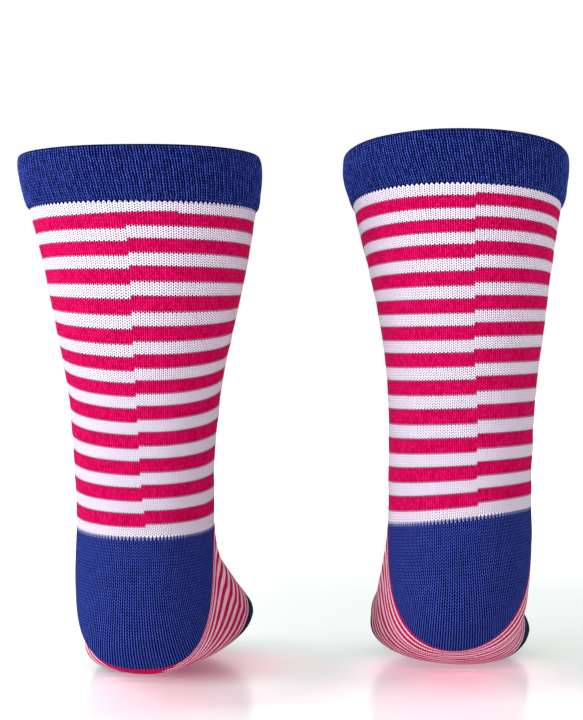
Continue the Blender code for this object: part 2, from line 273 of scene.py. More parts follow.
def heel_rings(sock, rows):
    """Rings of the heel, of which only the back half is knitted: all share two corners."""
    count = len(rows["back_x"])
    rings = foot_rings(rows_at(sock["foot"], FOOT_COLUMNS, np.zeros(count)))
    back = vectors(rows["back_x"], rows["back_y"], rows["back_z"])
    rings["back"] = back - rings["centre"]
    rings["powers"] = (rows["side_power"], rows["depth_power"])
    return rings


def equal_steps(path, steps, trim=0.0):
    """Points at equal steps along a path, less a trim at each end."""
    lengths = np.linalg.norm(np.diff(path, axis=0), axis=1)
    along = np.concatenate(([0], np.cumsum(lengths)))
    wanted = np.linspace(trim, along[-1] - trim, steps + 1)
    return np.stack([np.interp(wanted, along, path[:, axis]) for axis in range(3)], axis=1)


def shrunk(spokes, inset):
    length = np.linalg.norm(spokes, axis=1)
    return spokes * ((length - inset) / length)[:, None]


def half_rings(rings, half, steps, inset, trim=0.0):
    """Rows of points from each ring's +X side round its front or back half to its -X side."""
    side_power, depth_power = rings["powers"]
    if half == "front":
        side_power = depth_power = np.full(len(side_power), ROUND_POWER)
    angle = np.linspace(0, math.pi, CURVE_SAMPLES)[None]
    sideways = np.sign(np.cos(angle)) * np.abs(np.cos(angle)) ** (2 / side_power[:, None])
    outward = np.abs(np.sin(angle)) ** (2 / depth_power[:, None])
    side, depth = shrunk(rings["side"], inset), shrunk(rings[half], inset)
    curves = (
        rings["centre"][:, None]
        + sideways[..., None] * side[:, None]
        + outward[..., None] * depth[:, None]
    )
    return np.stack([equal_steps(curve, steps, trim) for curve in curves])


def whole_rings(rings, half_steps, inset):
    """Rows of points all round: the back half from +X to -X, then the front half back to +X."""
    back = half_rings(rings, "back", half_steps, inset)
    front = half_rings(rings, "front", half_steps, inset)
    return np.concatenate((back[:, :-1], front[:, :0:-1]), axis=1)


# ---- Unevenness of worn cloth ------------------------------------------------------------------

def smooth(x):
    x = np.clip(x, 0, 1)
    return x * x * (3 - 2 * x)


def ripple(turn, along, seed):
    """A slow unevenness of about a third of a millimetre, the same on both faces of the cloth."""
    rng = np.random.default_rng(seed)
    height = np.zeros(np.broadcast(turn, along).shape)
    for waves, reach in ((2, 61.0), (3, 43.0), (5, 33.0), (7, 24.0), (11, 19.0)):
        shift, lean = rng.uniform(0, 2 * math.pi, 2)
        swell = np.sin(2 * math.pi * along / reach + lean)
        height += np.sin(2 * math.pi * waves * turn + shift + 0.8 * swell) * swell
    return 0.11 * height


def crease(turn, along, place, reach, width, depth, bend):
    """One soft trough across the front of the ankle, deepest in the middle of its length."""
    across = (turn - FRONT) / reach
    line = place + bend * across**2
    return -depth * np.exp(-(across**2) * 1.6) * np.exp(-(((along - line) / width) ** 2))


def outward(points):
    """Unit vectors away from the middle of each row of points."""
    spokes = points - points.mean(axis=1, keepdims=True)
    return spokes / np.linalg.norm(spokes, axis=2, keepdims=True)


# ---- Shells ------------------------------------------------------------------------------------

def placed(points, sock):
    """Points of a sock's own frame moved to the shared frame, in metres."""
    turn = -math.radians(sock["turn_out"])
    x = points[..., 0] * math.cos(turn) - points[..., 1] * math.sin(turn)
    y = points[..., 0] * math.sin(turn) + points[..., 1] * math.cos(turn)
    turned = np.stack((x, y, points[..., 2]), axis=-1)
    return (turned + sock["stand"]) * MM


def stands():
    """Where each heel stands, so that the left cuff's opening is about the origin."""
    x, y, z = LEFT["cuff"][-1][2], LEFT["cuff"][-1][3], LEFT["cuff"][-1][1]
    turn = math.radians(LEFT["turn_out"])
    LEFT["stand"] = -np.array((
        x * math.cos(turn) + y * math.sin(turn),
        y * math.cos(turn) - x * math.sin(turn),
        z,
    ))
    RIGHT["stand"] = LEFT["stand"] + np.array(RIGHT_HEEL_FROM_LEFT)


def loops_of(rows, columns, closed_rows, closed_columns):
    """Faces of a grid of points, and for each corner of each face its row and column."""
    last_row = rows if closed_rows else rows - 1
    last_column = columns if closed_columns else columns - 1
    row, column = np.meshgrid(np.arange(last_row), np.arange(last_column), indexing="ij")
    corner_rows = np.stack((row, row + 1, row + 1, row), axis=-1).reshape(-1, 4)
    corner_columns = np.stack((column, column, column + 1, column + 1), axis=-1).reshape(-1, 4)
    faces = (corner_rows % rows) * columns + corner_columns % columns
    return faces, corner_rows, corner_columns


def knitted(name, points, faces, knit, bake, skins, materials):
    """One piece of cloth: its mesh, its stitch map, its bake map and its outer and inner finish."""
    mesh = bpy.data.meshes.new(name)
    mesh.from_pydata(points.reshape(-1, 3).tolist(), [], faces.tolist())
    for title, corners in (("knit", knit), ("OFBake", bake)):
        layer = mesh.uv_layers.new(name=title)
        layer.data.foreach_set("uv", corners.reshape(-1))
    for material in materials:
        mesh.materials.append(material)
    mesh.polygons.foreach_set("material_index", skins)
    mesh.shade_smooth()
    mesh.set_sharp_from_angle(angle=SHARP_ANGLE)
    piece = bpy.data.objects.new(name, mesh)
    bpy.context.scene.collection.objects.link(piece)
    return piece


def course_places(courses, first_share):
    """How many stripe pairs lie above each course, when the first stripe takes this share."""
    whole, part = np.divmod(courses, PAIR_COURSES)
    first = first_share * part / STRIPE_COURSES
    second = first_share + (1 - first_share) * (part / STRIPE_COURSES - 1)
    return whole + np.where(part <= STRIPE_COURSES, first, second)


def wales_at(turn):
    """The wale at this turn round the sock: wales are wider at the back and front."""
    return WALES * (turn + BACK_STRETCH * np.sin(4 * math.pi * turn) / (4 * math.pi))


def profile(outer, wall, unit, round_start=0.0, round_end=0.0):
    """Places and insets of a tube's rows: down the outside, round a rim, up the inside, and back.

    unit is the millimetres in one step of place, and a rounded rim has this radius."""
    start, end = outer[0] - round_start / unit, outer[-1] + round_end / unit
    rim = np.linspace(0, math.pi / 2, RIM_ROWS)
    inner = np.linspace(outer[-1], outer[0], INSIDE_ROWS + 1)
    places, insets, inside = [outer], [0 * outer], [0 * outer]
    if round_end:
        places += [end - round_end / unit * (1 - np.sin(rim[1:]))]
        insets += [round_end * (1 - np.cos(rim[1:]))]
        inside += [0 * rim[1:]]
        places += [end - round_end / unit * (1 - np.cos(rim[1:-1]))]
        insets += [wall - round_end * (1 - np.sin(rim[1:-1]))]
        inside += [0 * rim[1:-1]]
    places += [inner]
    insets += [wall + 0 * inner]
    inside += [1 + 0 * inner]
    if round_start:
        places += [start + round_start / unit * (1 - np.sin(rim[1:]))]
        insets += [wall - round_start * (1 - np.cos(rim[1:]))]
        inside += [0 * rim[1:]]
        places += [start + round_start / unit * (1 - np.cos(rim[1:-1]))]
        insets += [round_start * (1 - np.sin(rim[1:-1]))]
        inside += [0 * rim[1:-1]]
    return np.concatenate(places), np.concatenate(insets), np.concatenate(inside)


def tube_shell(name, sock, points, courses, inside, materials, leans):
    """A tube's shell from rows of points that go down its outside and back up its inside.

    courses is a course for each row or each point, and leans how many wales each row's stitches
    have moved round the tube."""
    rows, columns = points.shape[:2]
    faces, corner_rows, corner_columns = loops_of(rows, columns, True, True)
    courses = np.broadcast_to(courses.reshape(rows, -1), (rows, columns))
    courses = np.pad(courses, ((0, 1), (0, 1)), mode="wrap")
    leans = np.append(leans, leans[0])
    wales = wales_at(corner_columns / columns) + leans[corner_rows]
    knit = np.stack((wales, courses[corner_rows, corner_columns]), axis=-1)
    skins = inside[corner_rows[:, 0] % rows].astype(int)
    closing = np.concatenate((np.arange(rows), [rows])) / rows
    height = 0.004 + 0.992 * closing[corner_rows]
    bake = np.stack((0.003 + 0.994 * corner_columns / columns, height), axis=-1)
    return knitted(name, placed(points, sock), faces, knit, bake, skins, materials)


def make_cuff(sock, materials):
    """The welt: a ridge along every wale, a little wavy, and leaning as the cuff twists."""
    length = sock["cuff"][-1][1] - sock["cuff"][0][1]
    low, high = 1.0 / length, 1 - CUFF_WALL / 2 / length
    outer = np.linspace(low, high, CUFF_ROWS + 1)
    places, insets, inside = profile(outer, CUFF_WALL, length, 1.0, CUFF_WALL / 2)
    insets = insets + (1 - inside) * 0.5 * (1 - smooth(places * 5))
    rings = tube_rings(rows_at(sock["cuff"], CUFF_COLUMNS, places))
    points = tube_points(rings, insets, CUFF_STEPS_A_WALE * HALF_WALES)
    turn = np.arange(points.shape[1]) / points.shape[1]
    wale = wales_at(turn) + sock["rib_lean"] * (1 - places[:, None])
    along = places * length
    round_the_rib = np.abs(np.sin(math.pi * wale)) ** 0.7
    lower = np.where(np.floor(wale) % 2 == 0, 1.0, 0.95)
    strength = (1 - inside) * smooth((1 - places) * 6 + 0.35) * smooth(places * 8 + 0.3)
    ridge = RIB_DEPTH * strength[:, None] * round_the_rib * lower
    uneven = ripple(turn, along[:, None], sock["seed"])
    points = points + (ridge + uneven)[..., None] * outward(points)
    points = points + rib_waves(points, wale, along, sock["seed"])
    courses = -places * length / CUFF_COURSE
    leans = sock["rib_lean"] * (1 - places)
    name = f"{sock['name']}_cuff_knit"
    return tube_shell(name, sock, points, courses, inside, materials, leans)


def one_ring(value, i):
    if isinstance(value, tuple):
        return tuple(part[i : i + 1] for part in value)
    return value[i : i + 1]


def rib_waves(points, wale, along, seed):
    """Small sideways moves that make each groove between two ribs wander."""
    rng = np.random.default_rng(seed + 1)
    phases = rng.uniform(0, 2 * math.pi, (3, WALES))
    waves = sum(
        size * np.sin(2 * math.pi * along[:, None] / reach + phase)
        for phase, (size, reach) in zip(phases, ((0.14, 11.0), (0.10, 5.3), (0.08, 3.1)))
    )
    whole = np.floor(wale).astype(int)
    part = wale - whole
    first = np.take_along_axis(waves, whole % WALES, axis=1)
    second = np.take_along_axis(waves, (whole + 1) % WALES, axis=1)
    shift = first * (1 - part) + second * part
    tangent = np.roll(points, -1, axis=1) - np.roll(points, 1, axis=1)
    tangent /= np.linalg.norm(tangent, axis=2, keepdims=True)
    return shift[..., None] * tangent


def tube_points(rings, insets, steps):
    """Rows of points round a tube, each ring drawn in by its own inset."""
    return np.concatenate([
        whole_rings({key: one_ring(value, i) for key, value in rings.items()}, steps, inset)
        for i, inset in enumerate(insets)
    ])


def make_leg(sock, materials):
    outer = STRIPES_A_PAIR * course_places(np.arange(LEG_COURSES + 1.0), WHITE_SHARE)
    outer = np.concatenate(([-0.12], outer))
    places, insets, inside = profile(outer, JERSEY_WALL, STRIPE)
    rings = tube_rings(rows_at(sock["leg"], LEG_COLUMNS, places))
    points = tube_points(rings, insets, LEG_STEPS_A_WALE * HALF_WALES)
    courses = np.interp(places, outer, np.concatenate(([-0.6], np.arange(LEG_COURSES + 1.0))))
    turn = np.arange(points.shape[1]) / points.shape[1]
    along = places[:, None] * STRIPE
    fade = smooth(places / 1.5) * smooth((LEG_STRIPES - places) / 2)
    uneven = fade[:, None] * ripple(turn, along, sock["seed"] + 2)
    for fold in LEG_CREASES:
        uneven = uneven + crease(turn, along, *fold)
    points = points + uneven[..., None] * outward(points)
    leans = -np.interp(courses / LEG_COURSES, *zip(*sock["drift"]))
    return tube_shell(f"{sock['name']}_leg_knit", sock, points, courses, inside, materials, leans)


def make_foot(sock, materials):
    outer = course_places(np.arange(FOOT_COURSES + 1.0), 1 - WHITE_SHARE)
    places, insets, inside = profile(outer, JERSEY_WALL, INSTEP_PAIR)
    rings = foot_rings(rows_at(sock["foot"], FOOT_COLUMNS, places))
    points = tube_points(rings, insets, LEG_STEPS_A_WALE * HALF_WALES)
    turn = np.arange(points.shape[1]) / points.shape[1]
    along = places[:, None] * INSTEP_PAIR
    fade = smooth(places / 1.5) * smooth((FOOT_PAIRS - places) / 1.5)
    off_the_floor = smooth((points[..., 2] - 5) / 12)
    uneven = ripple(turn, along, sock["seed"] + 3) * off_the_floor
    for fold in FOOT_CREASES:
        uneven = uneven + crease(turn, along, *fold)
    points = points + (fade[:, None] * uneven)[..., None] * outward(points)
    down = np.interp(places, outer, np.arange(FOOT_COURSES + 1.0))[:, None]
    courses = LEG_COURSES + down + crowded(turn, down)
    leans = 0 * places
    return tube_shell(f"{sock['name']}_foot_knit", sock, points, courses, inside, materials, leans)


def crowded(turn, down):
    """How many courses more have passed under the sole than over the instep, from the heel on.

    Beside the foot, where the rings bend, a few courses less make the stripes turn softly."""
    aside = np.sin(2 * math.pi * turn)
    under = smooth((aside + 0.9) / 1.6)
    more = CROWDING * under * (1 - np.exp(-down / 9.0)) * (1 - down / FOOT_COURSES)
    ends = smooth(down / 12) * smooth((FOOT_COURSES - down) / 12)
    return more - SOFT_TURN * np.exp(-np.abs(aside) / 0.24) * ends


def make_toe(sock, materials):
    """The toe pouch: rows down its outside to the tip and, as a second skin, down its inside."""
    name = f"{sock['name']}_toe_knit"
    tip = sock["foot"][-1][0]
    steps = LEG_STEPS_A_WALE * HALF_WALES
    skins_points = []
    for inset, rows in ((0.0, TOE_ROWS), (JERSEY_WALL, INSIDE_ROWS)):
        places = np.linspace(FOOT_PAIRS, tip - inset / INSTEP_PAIR, rows + 1)
        rings = foot_rings(rows_at(sock["foot"], FOOT_COLUMNS, places))
        skins_points.append((places, tube_points(rings, [inset] * len(places), steps)))
    return toe_shell(name, sock, skins_points, materials)


def toe_shell(name, sock, skins_points, materials):
    """Two skins joined at the open rim, each sewn shut across the tip by a strip of faces."""
    (outer_places, outer), (inner_places, inner) = skins_points
    points = np.concatenate((outer[::-1], inner))
    places = np.concatenate((outer_places[::-1], inner_places))
    rows, columns = points.shape[:2]
    faces, corner_rows, corner_columns = loops_of(rows, columns, False, True)
    course = (LEG_COURSES + places * PAIR_COURSES)[corner_rows]
    knit = np.stack((wales_at(corner_columns / columns), course), axis=-1)
    skins = (corner_rows[:, 0] >= len(outer)).astype(int)
    height = 0.004 + 0.90 * corner_rows / (rows - 1)
    bake = np.stack((0.003 + 0.994 * corner_columns / columns, height), axis=-1)
    half = columns // 2
    for row, skin, low in ((0, 0, 0.915), (rows - 1, 1, 0.96)):
        back = np.arange(half + 1)
        front = (columns - back) % columns
        strip = np.stack((back[:-1], back[1:], front[1:], front[:-1]), axis=1)[1:-1]
        ends = np.array(((0, 1, front[1], front[1]), (half - 1, half, half, front[half - 1])))
        sewn = np.concatenate((strip, ends))
        if skin:
            sewn = sewn[:, ::-1]
        faces = np.concatenate((faces, row * columns + sewn))
        across = np.minimum(sewn, columns - sewn) / half
        level = np.where((sewn > half) | (sewn == 0), 1.0, 0.0)
        knit = np.concatenate((knit, np.stack((across * HALF_WALES, SEWN_COURSE + level), axis=-1)))
        bake = np.concatenate((bake, np.stack((across * 0.994 + 0.003, low + 0.03 * level), axis=-1)))
        skins = np.concatenate((skins, np.full(len(sewn), skin)))
    return knitted(name, placed(points, sock), faces, knit, bake, skins, materials)


def make_heel(sock, materials):
    """The pouch: each column of points runs from the leg's last ring down to the foot's first."""
    name = f"{sock['name']}_heel_knit"
    turns = np.linspace(0, 1, HEEL_TURNS)
    rings = heel_rings(sock, rows_at(sock["heel"], HEEL_COLUMNS, turns))
    steps = LEG_STEPS_A_WALE * HALF_WALES
    patches, lengths = [], None
    for inset in (0.0, JERSEY_WALL):
        curves = half_rings(rings, "back", steps, inset, HEEL_TRIM)
        columns = [curves[:, i] for i in range(curves.shape[1])]
        patches.append(np.stack([equal_steps(c, HEEL_ROWS) for c in columns], axis=1))
        if lengths is None:
            lengths = np.array([np.linalg.norm(np.diff(c, axis=0), axis=1).sum() for c in columns])
    return heel_shell(name, sock, patches, lengths, materials)


def heel_shell(name, sock, patches, lengths, materials):
    """Two patches joined round their edge, as a grid of rows that goes over and back."""
    outer, inner = patches
    rows, columns = outer.shape[:2]
    turn = np.arange(columns) / (2 * (columns - 1))
    down = np.linspace(0, 1, rows)
    fade = smooth(down * 6) * smooth((1 - down) * 6)
    fade = fade[:, None] * smooth(turn * 12) * smooth((0.5 - turn) * 12)
    centre = outer.mean(axis=(0, 1))
    shift = ripple(turn, down[:, None] * 70, sock["seed"] + 4) * fade
    for patch in patches:
        away = patch - centre
        patch += shift[..., None] * away / np.linalg.norm(away, axis=2, keepdims=True)
    points = np.concatenate((outer, inner))
    number = np.arange(2 * rows * columns).reshape(2, rows, columns)
    grid, corner_rows, corner_columns = loops_of(rows, columns, False, False)
    wales = wales_at(corner_columns / (columns - 1) / 2)
    course = LEG_COURSES + down[corner_rows] * lengths[corner_columns] / sock["heel_course"]
    knit = np.stack((wales, course), axis=-1)
    across = corner_columns / (columns - 1)
    bake = np.stack((0.004 + 0.992 * across, 0.30 + 0.69 * down[corner_rows]), axis=-1)
    bake_inside = np.stack((0.004 + 0.992 * across, 0.03 + 0.24 * down[corner_rows]), axis=-1)
    edge = np.concatenate((
        number[:, 0, :-1], number[:, :-1, -1], number[:, -1, :0:-1], number[:, :0:-1, 0],
    ), axis=1)
    rim = np.stack((np.roll(edge[0], -1), edge[0], edge[1], np.roll(edge[1], -1)), axis=1)
    faces = np.concatenate((grid, grid[:, ::-1] + rows * columns, rim))
    run = np.arange(len(rim)) / len(rim)
    rim_knit = np.stack((run * WALES, np.full(len(rim), LEG_COURSES + 4.5)), axis=-1)
    rim_bake = np.stack((0.004 + 0.992 * run, np.full(len(rim), 0.01)), axis=-1)
    knit = np.concatenate((knit, knit[:, ::-1], np.repeat(rim_knit[:, None], 4, axis=1)))
    bake = np.concatenate((bake, bake_inside[:, ::-1], np.repeat(rim_bake[:, None], 4, axis=1)))
    skins = np.repeat((0, 1, 0), (len(grid), len(grid), len(rim)))
    return knitted(name, placed(points, sock), faces, knit, bake, skins, materials)


# ---- Shader maths ------------------------------------------------------------------------------

class Value:
    """A number in a material's nodes, so that shader maths reads as maths."""

    def __init__(self, paint, socket):
        self.paint = paint
        self.socket = socket

    def maths(self, operation, *others):
        return self.paint.maths(operation, self, *others)

    def __add__(self, other):
        return self.maths("ADD", other)

    def __radd__(self, other):
        return self.maths("ADD", other)

    def __sub__(self, other):
        return self.maths("SUBTRACT", other)

    def __rsub__(self, other):
        return self.paint.maths("SUBTRACT", other, self)

    def __mul__(self, other):
        return self.maths("MULTIPLY", other)

    def __rmul__(self, other):
        return self.maths("MULTIPLY", other)

    def __truediv__(self, other):
        return self.maths("DIVIDE", other)

    def __gt__(self, other):
        return self.maths("GREATER_THAN", other)

    def __lt__(self, other):
        return self.maths("LESS_THAN", other)


class Paint:
    """One material's nodes, with the Principled shader that they feed."""

    def __init__(self, name):
        self.material = bpy.data.materials.new(name)
        self.material.use_nodes = True
        self.tree = self.material.node_tree
        self.shader = self.tree.nodes["Principled BSDF"]

    def node(self, kind, settings=None, inputs=None):
        """A node of this kind, with its settings and then its sockets' values or links."""
        made = self.tree.nodes.new(kind)
        for name, value in (settings or {}).items():
            setattr(made, name, value)
        for key, value in (inputs or {}).items():
            self.feed(made.inputs[key], value)
        return made

    def feed(self, socket, value):
        if isinstance(value, Value):
            value = value.socket
        if isinstance(value, bpy.types.NodeSocket):
            self.tree.links.new(value, socket)
        else:
            socket.default_value = value

    def maths(self, operation, *values):
        made = self.node("ShaderNodeMath", {"operation": operation}, dict(enumerate(values)))
        return Value(self, made.outputs[0])

    def step(self, low, high, value):
        """0 up to low, 1 from high on, and a smooth rise between them."""
        settings = {"interpolation_type": "SMOOTHSTEP"}
        made = self.node("ShaderNodeMapRange", settings, {0: value, 1: low, 2: high})
        return Value(self, made.outputs[0])

    def mixed(self, share, first, second):
        """A colour that goes from the first to the second as the share goes from 0 to 1."""
        first, second = (c if not isinstance(c, tuple) else (*c, 1) for c in (first, second))
        made = self.node("ShaderNodeMix", {"data_type": "RGBA"}, {0: share, 6: first, 7: second})
        return made.outputs[2]

    def noise(self, size, detail):
        """Noise from 0 to 1 over the object, with lumps of about this size in metres."""
        place = self.node("ShaderNodeTexCoord").outputs["Object"]
        inputs = {"Vector": place, "Scale": 1 / size, "Detail": detail}
        return Value(self, self.node("ShaderNodeTexNoise", None, inputs).outputs[0])

    def random(self, x, y):
        """A number from 0 to 1 for each whole x and y."""
        cell = self.node("ShaderNodeCombineXYZ", None, {0: x, 1: y}).outputs[0]
        made = self.node("ShaderNodeTexWhiteNoise", {"noise_dimensions": "2D"}, {"Vector": cell})
        return Value(self, made.outputs["Value"])

    def stitch_place(self):
        """The wale and course of a point of cloth, from its stitch map."""
        stitches = self.node("ShaderNodeUVMap", {"uv_map": "knit"}).outputs[0]
        split = self.node("ShaderNodeSeparateXYZ", None, {0: stitches})
        return Value(self, split.outputs[0]), Value(self, split.outputs[1])


class Stitch:
    """Where a point lies in its stitch, and what shows there.

    The sock is knitted downwards, so that each stitch's two legs lean together at the top."""

    def __init__(self, paint, wale, course, purl, lift=STITCH_LIFT):
        part = wale.maths("FRACT")
        self.middle = 1 - (2 * part - 1).maths("ABSOLUTE")
        if purl:
            self.loop_course = course + 0.3 * (part * 2 * math.pi).maths("COSINE")
        else:
            self.loop_course = course + lift * (self.middle - 0.5)
        down = self.loop_course.maths("FRACT")
        aside = (self.middle - 0.5 - 0.3 * (0.5 - down)).maths("ABSOLUTE")
        self.strand = 1 - paint.step(0.04, 0.44, aside)
        self.row = 1 - paint.step(0.10, 0.48, (down - 0.5).maths("ABSOLUTE"))
        line = (self.loop_course + 0.6 - 0.2 * self.middle).maths("FRACT")
        away = (line - 0.5).maths("ABSOLUTE") / 0.27
        beside = (1 - (2 * self.middle - 1).maths("ABSOLUTE")) * 1.6
        self.from_hole = (away * away + beside * beside).maths("SQRT")
        # The holes between loops: they lower the relief, and colours darken in them as painted shade
        self.hole = 1 - paint.step(0.60, 1.35, self.from_hole)
        leg = (2 * wale).maths("FLOOR")
        self.chance = paint.random(leg, self.loop_course.maths("FLOOR"))
        self.height = (0.35 + 0.35 * self.strand + 0.3 * self.row) * (1 - self.hole)


def cloth_shader(paint, colour, height):
    """The finish that all the knitting shares: dull fibres, and the relief of loops and nap."""
    shader = paint.shader
    shader.inputs["Roughness"].default_value = 0.88
    shader.inputs["Specular IOR Level"].default_value = 0.02
    paint.feed(shader.inputs["Base Color"], colour)
    fuzz = paint.noise(0.0006, 3.0)
    bump = paint.node("ShaderNodeBump", None, {
        "Strength": 1.0, "Distance": RELIEF, "Height": height + 0.18 * fuzz,
    })
    paint.feed(shader.inputs["Normal"], bump.outputs[0])
    return paint.material


def yarn(paint, colours, light):
    """The yarn's colour from its painted shade at 0 through mid at a half to its painted highlight at
    1.
    """
    lower = paint.mixed(paint.step(0.0, 0.5, light), colours["dark"], colours["mid"])
    return paint.mixed(paint.step(0.5, 1.0, light), lower, colours["light"])


def painted_strand_light(paint, stitch, low, high, liveliness, rows=0.3, depth=1.0):
    """How lit the yarn is painted: a painted highlight high on a strand, painted shade low beside it,
    and a tone that differs a little by chance.

    rows is how far painted shade darkens each loop towards the next one, and depth how dark the
    painted shade in the holes is."""
    fleck = paint.noise(0.0005, 1.0)
    # Painted highlight on the strands, painted shade beside them and in the holes; the chance is
    # random tone
    chance = liveliness * (stitch.chance - 0.5 + fleck - 0.5)
    shine = stitch.strand * (1 - rows * (1 - stitch.row))
    return (low + (high - low) * shine + chance) * (1 - depth * stitch.hole)


def striped(paint, wale, course, shift, courses, pair, purl):
    """Stripes of five courses: the white legs reach into the pink, with painted shade in the gaps
    between them.
    """
    spiral = (course + shift).maths("MAXIMUM", 0.3).maths("MINIMUM", courses - 0.3)
    stitch = Stitch(paint, wale, spiral, purl)
    kept = stitch.loop_course.maths("MAXIMUM", 0.01).maths("MINIMUM", courses - 0.01)
    edge = (kept.maths("MODULO", PAIR_COURSES) - STRIPE_COURSES).maths("ABSOLUTE")
    edge = edge.maths("MINIMUM", STRIPE_COURSES - edge)
    at_edge = (1 - paint.step(0.38, 0.55, edge)) * (kept > 1) * (kept < courses - 1)
    toothed = spiral + 0.45 * (stitch.middle - 0.5)
    from_pink = (toothed + (1.5 * PAIR_COURSES - pair["middle"])).maths("MODULO", PAIR_COURSES)
    from_pink = (from_pink - PAIR_COURSES / 2).maths("ABSOLUTE")
    is_pink = 1 - paint.step(pair["half"] - 0.12, pair["half"] + 0.12, from_pink)
    behind = wale.maths("MODULO", WALES) < HALF_WALES
    is_pink = is_pink.maths("MAXIMUM", behind * (toothed < pair["first"]))
    pink = yarn(paint, PINK, painted_strand_light(paint, stitch, 0.30, 0.82, 0.35, 0.35, 0.4))
    # Painted shade in the holes and beside the strands of the other yarn
    bright = 1 - stitch.hole * (1 - 0.3 * stitch.middle)
    bright = bright - 0.12 * (1 - stitch.strand) - 0.15 * (stitch.chance - 0.5)
    other = yarn(paint, pair["other"], bright)
    other = paint.mixed(0.45 * at_edge, other, yarn(paint, BLUSH, bright))
    colour = paint.mixed(is_pink, other, pink)
    # Painted shade: the holes along the stripes' edges turn maroon
    gap = pair["gaps"] * at_edge * (1 - paint.step(0.95, 1.65, stitch.from_hole))
    return paint.mixed(gap, colour, HOLE_SHADE_MAROON), stitch


def leg_shift(paint, wale, course, sock):
    """How far the stripes climb: one course in each turn, with the step down the back.

    On the left sock the first stripe starts elsewhere, and its step goes the other way."""
    shift = JOG * (0.5 - ((sock["jog_wale"] - wale) / WALES).maths("FRACT"))
    if sock["first_jog_wale"] == sock["jog_wale"]:
        return shift
    past = ((wale - sock["first_jog_wale"]) / WALES).maths("FRACT")
    first = 0.75 - 1.2 * paint.step(0.0, 0.16, past) + 0.45 * past
    is_first = course < 7.5
    return shift * (1 - is_first) + first * is_first


def leg_jersey(sock, purl=False):
    paint = Paint(f"{sock['name']}_leg_{'inside' if purl else 'outside'}")
    wale, course = paint.stitch_place()
    shift = leg_shift(paint, wale, course, sock)
    colour, stitch = striped(paint, wale, course, shift, LEG_COURSES, LEG_PAIR, purl)
    from_cuff = course + 1.2 * (stitch.middle - 0.5) < 0.45
    to_heel = course + 2.0 * (stitch.middle - 0.5) > LEG_COURSES
    behind = wale.maths("MODULO", WALES) < HALF_WALES
    blue = yarn(paint, BLUE, painted_strand_light(paint, stitch, 0.15, 0.75, 0.45))
    colour = paint.mixed(from_cuff + to_heel * behind, colour, blue)
    return cloth_shader(paint, colour, stitch.height)


def foot_jersey(sock, purl=False):
    paint = Paint(f"{sock['name']}_foot_{'inside' if purl else 'outside'}")
    wale, course = paint.stitch_place()
    down = course - LEG_COURSES
    shift = 0.5 - ((sock["jog_wale"] - wale) / WALES).maths("FRACT")
    turned = wale.maths("MODULO", WALES)
    under = paint.step(*BAND_STARTS, turned) * (1 - paint.step(*BAND_NARROWS, turned))
    pair = dict(FOOT_PAIR, first=FOOT_PAIR["first"] + sock["more_pink"] * under)
    colour, stitch = striped(paint, wale, down, shift, FOOT_COURSES, pair, purl)
    to_toe = down + STITCH_LIFT * (stitch.middle - 0.5) > FOOT_COURSES
    navy = yarn(paint, NAVY, painted_strand_light(paint, stitch, 0.1, 0.8, 0.5))
    colour = paint.mixed(to_toe, colour, navy)
    return cloth_shader(paint, colour, stitch.height)


def heel_jersey(sock, purl=False):
    paint = Paint(f"{sock['name']}_heel_{'inside' if purl else 'outside'}")
    wale, course = paint.stitch_place()
    stitch = Stitch(paint, wale, course, purl, HEEL_LIFT)
    blue = yarn(paint, BLUE, painted_strand_light(paint, stitch, 0.0, 1.35, 0.30, 0.75, 0.8))
    # Painted shade in the holes of the white teeth above the heel
    white = yarn(paint, WHITE, 1 - stitch.hole)
    colour = paint.mixed(course + 2.0 * (stitch.middle - 0.5) < LEG_COURSES, blue, white)
    return cloth_shader(paint, colour, stitch.height)


def toe_jersey(sock, purl=False):
    paint = Paint(f"{sock['name']}_toe_{'inside' if purl else 'outside'}")
    wale, course = paint.stitch_place()
    stitch = Stitch(paint, wale, course, purl)
    navy = yarn(paint, NAVY, painted_strand_light(paint, stitch, 0.1, 0.8, 0.5))
    return cloth_shader(paint, navy, stitch.height)


def cuff_rib(sock, purl=False):
    """Ribs of two strands each, with painted shade in the grooves between them, weaker towards the
    cuff's sides.
    """
    paint = Paint(f"{sock['name']}_cuff_{'inside' if purl else 'outside'}")
    wale, course = paint.stitch_place()
    stitch = Stitch(paint, wale, course, purl, HEEL_LIFT)
    from_side = (wale / HALF_WALES).maths("FRACT")
    from_side = 0.5 - (from_side - 0.5).maths("ABSOLUTE")
    # Painted shade in the grooves between ribs, weaker towards the cuff's sides
    ribbed = 0.30 + 0.70 * paint.step(0.14, 0.28, from_side)
    groove = 1 - paint.step(0.10, 0.42, stitch.middle)
    second = (wale * 0.5).maths("FRACT") > 0.5
    light = painted_strand_light(paint, stitch, 0.05, 1.20, 0.55, 0.7, 0.8)
    light = light * (1 - ribbed * groove) * (1 - 0.10 * ribbed * second)
    # Painted shade: the colour darkens over the top course, where the rim turns inward
    top = (sock["cuff"][-1][1] - sock["cuff"][0][1]) / CUFF_COURSE
    light = light * paint.step(0.15 - top, 0.9 - top, course)
    return cloth_shader(paint, yarn(paint, BLUE, light), stitch.height)


# ---- The pair ----------------------------------------------------------------------------------

# Flat width and length of each zone's cut all round, in metres, before it was stretched
ZONES = {
    "cuff": (make_cuff, cuff_rib, "cuff_rib", (0.300, 0.030)),
    "leg": (make_leg, leg_jersey, "leg_jersey", (0.240, 0.160)),
    "heel": (make_heel, heel_jersey, "heel_jersey", (0.105, 0.055)),
    "foot": (make_foot, foot_jersey, "foot_jersey", (0.230, 0.104)),
    "toe": (make_toe, toe_jersey, "toe_jersey", (0.215, 0.068)),
}


def knit_sock(sock):
    for zone, (make, finish, slot, flat) in ZONES.items():
        piece = make(sock, (finish(sock), finish(sock, purl=True)))
        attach(piece, "root")
        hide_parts(f"{sock['name']}_{zone}")


